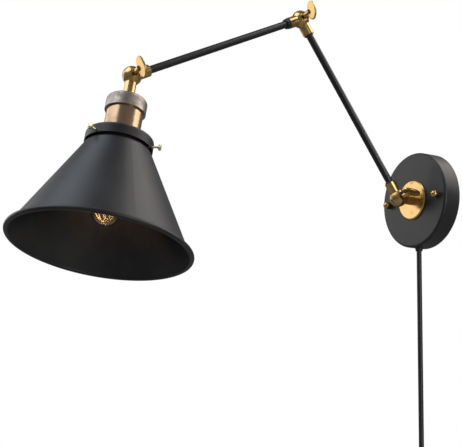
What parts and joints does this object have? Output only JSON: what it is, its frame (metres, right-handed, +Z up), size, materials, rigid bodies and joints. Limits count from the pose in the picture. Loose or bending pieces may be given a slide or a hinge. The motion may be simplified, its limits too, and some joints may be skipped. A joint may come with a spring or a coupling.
{
  "type": "swing arm wall sconce",
  "caption": "Wall sconce with a round canopy, two tubular arms on split ball joints with wing screws, and a conical metal shade on a swivelling socket.",
  "frame": {"origin": "centre of the canopy's back face, on the wall", "axes": "+Z up, +Y into the wall, -Y out into the room, +X to the right of someone facing the wall"},
  "size_m": [0.1943, 0.5401, 0.8091],
  "materials": {
    "black_powder_coat": "satin",
    "black_tube": "satin",
    "antique_brass": "satin",
    "aged_brass": "satin",
    "pale_brass": "polished",
    "zinc_steel": "brushed",
    "green_steel": "gloss",
    "black_rubber": "matte",
    "black_cord": "matte",
    "black_plastic": "satin",
    "wire_sheath": "matte",
    "fibre": "matte",
    "ceramic": "gloss",
    "bulb_glass": "clear amber",
    "filament": "glowing",
    "plated_steel": "polished"
  },
  "bodies": {
    "wall_plate": {"canopy": "black_powder_coat", "mounting_bracket": "zinc_steel", "bracket_stud_left": "zinc_steel", "bracket_stud_right": "zinc_steel", "cap_nuts": "antique_brass", "ground_screw": "green_steel", "escutcheon": "antique_brass", "cord_bushing": "black_rubber", "cord_conductors": "wire_sheath", "cord_upper": "black_cord", "switch_back": "black_plastic", "switch_front": "black_plastic", "cord_lower": "black_cord", "cord_coil": "black_cord", "cord_tie": "black_plastic", "cord_tail": "black_cord", "plug_body": "black_plastic", "plug_blades": "plated_steel"},
    "base_swivel": {"base_nipple": "zinc_steel", "nipple_washer": "zinc_steel", "nipple_nut": "zinc_steel", "shoulder_base_half": "antique_brass", "shoulder_friction_washer": "fibre"},
    "lower_arm": {"shoulder_arm_half": "antique_brass", "lower_arm_ring_bottom": "black_powder_coat", "lower_arm_tube": "black_tube", "lower_arm_wire": "wire_sheath", "lower_arm_ring_top": "black_powder_coat", "elbow_lower_half": "antique_brass"},
    "upper_arm": {"elbow_upper_half": "antique_brass", "elbow_friction_washer": "fibre", "upper_arm_ring_elbow": "black_powder_coat", "upper_arm_tube": "black_tube", "upper_arm_wire": "wire_sheath", "upper_arm_ring_head": "black_powder_coat", "head_arm_half": "antique_brass"},
    "lamp_head": {"head_socket_half": "antique_brass", "head_friction_washer": "fibre", "head_nipple": "zinc_steel", "head_lock_nut": "antique_brass", "socket_cap": "aged_brass", "socket_shell": "aged_brass", "socket_insulator": "ceramic", "screw_shell": "zinc_steel", "centre_contact": "zinc_steel", "fitter": "black_powder_coat", "fitter_lock_ring": "zinc_steel", "shade": "black_powder_coat"},
    "shoulder_wing": {"shoulder_wing_screw": "antique_brass"},
    "elbow_wing": {"elbow_wing_screw": "antique_brass"},
    "head_wing": {"head_wing_screw": "antique_brass"},
    "bulb": {"bulb_base": "plated_steel", "bulb_glass": "bulb_glass", "bulb_filament": "filament"},
    "rocker": {"switch_rocker": "black_plastic"},
    "thumb_1": {"thumbscrew_1": "pale_brass"},
    "thumb_2": {"thumbscrew_2": "pale_brass"},
    "thumb_3": {"thumbscrew_3": "pale_brass"}
  },
  "joints": [
    {"name": "base_swivel", "type": "hinge", "parent": "wall_plate", "child": "base_swivel", "pos_m": [0, -0.0462, 0], "axis": [0, -1, 0], "range_deg": [-98, 82]},
    {"name": "shoulder", "type": "hinge", "parent": "base_swivel", "child": "lower_arm", "pos_m": [0, -0.0462, 0], "axis": [0.9903, 0, 0.1392], "range_deg": [-20.1, 39.9]},
    {"name": "elbow", "type": "hinge", "parent": "lower_arm", "child": "upper_arm", "pos_m": [-0.03058, -0.17358, 0.21761], "axis": [0.9903, 0, 0.1392], "range_deg": [-87.6, 10.4]},
    {"name": "head_tilt", "type": "hinge", "parent": "upper_arm", "child": "lamp_head", "pos_m": [-0.01376, -0.40379, 0.09793], "axis": [0.9903, 0, 0.1392], "range_deg": [-110.8, 24.2]},
    {"name": "shoulder_wing_turn", "type": "hinge", "parent": "base_swivel", "child": "shoulder_wing", "pos_m": [0, -0.0462, 0], "axis": [0.9903, 0, 0.1392], "range_deg": [0, 360]},
    {"name": "elbow_wing_turn", "type": "hinge", "parent": "upper_arm", "child": "elbow_wing", "pos_m": [-0.03058, -0.17358, 0.21761], "axis": [0.9903, 0, 0.1392], "range_deg": [0, 360]},
    {"name": "head_wing_turn", "type": "hinge", "parent": "lamp_head", "child": "head_wing", "pos_m": [-0.01376, -0.40379, 0.09793], "axis": [0.9903, 0, 0.1392], "range_deg": [0, 360]},
    {"name": "bulb_turn", "type": "hinge", "parent": "lamp_head", "child": "bulb", "pos_m": [-0.00405, -0.41798, 0.02884], "axis": [0.1364, -0.1994, -0.9704], "range_deg": [-720, 0]},
    {"name": "thumb_1_turn", "type": "hinge", "parent": "lamp_head", "child": "thumb_1", "pos_m": [0.0124, -0.45361, 0.02414], "axis": [0.3934, -0.8881, 0.2377], "range_deg": [0, 720]},
    {"name": "thumb_2_turn", "type": "hinge", "parent": "lamp_head", "child": "thumb_2", "pos_m": [-0.03857, -0.41759, 0.00958], "axis": [-0.9841, 0.0854, -0.1558], "range_deg": [0, 720]},
    {"name": "thumb_3_turn", "type": "hinge", "parent": "lamp_head", "child": "thumb_3", "pos_m": [0.0197, -0.39105, 0.01232], "axis": [0.5907, 0.8027, -0.0819], "range_deg": [0, 720]},
    {"name": "switch_rock", "type": "hinge", "parent": "wall_plate", "child": "rocker", "pos_m": [0, -0.021, -0.365], "axis": [1, 0, 0], "range_deg": [-8, 8]}
  ]
}
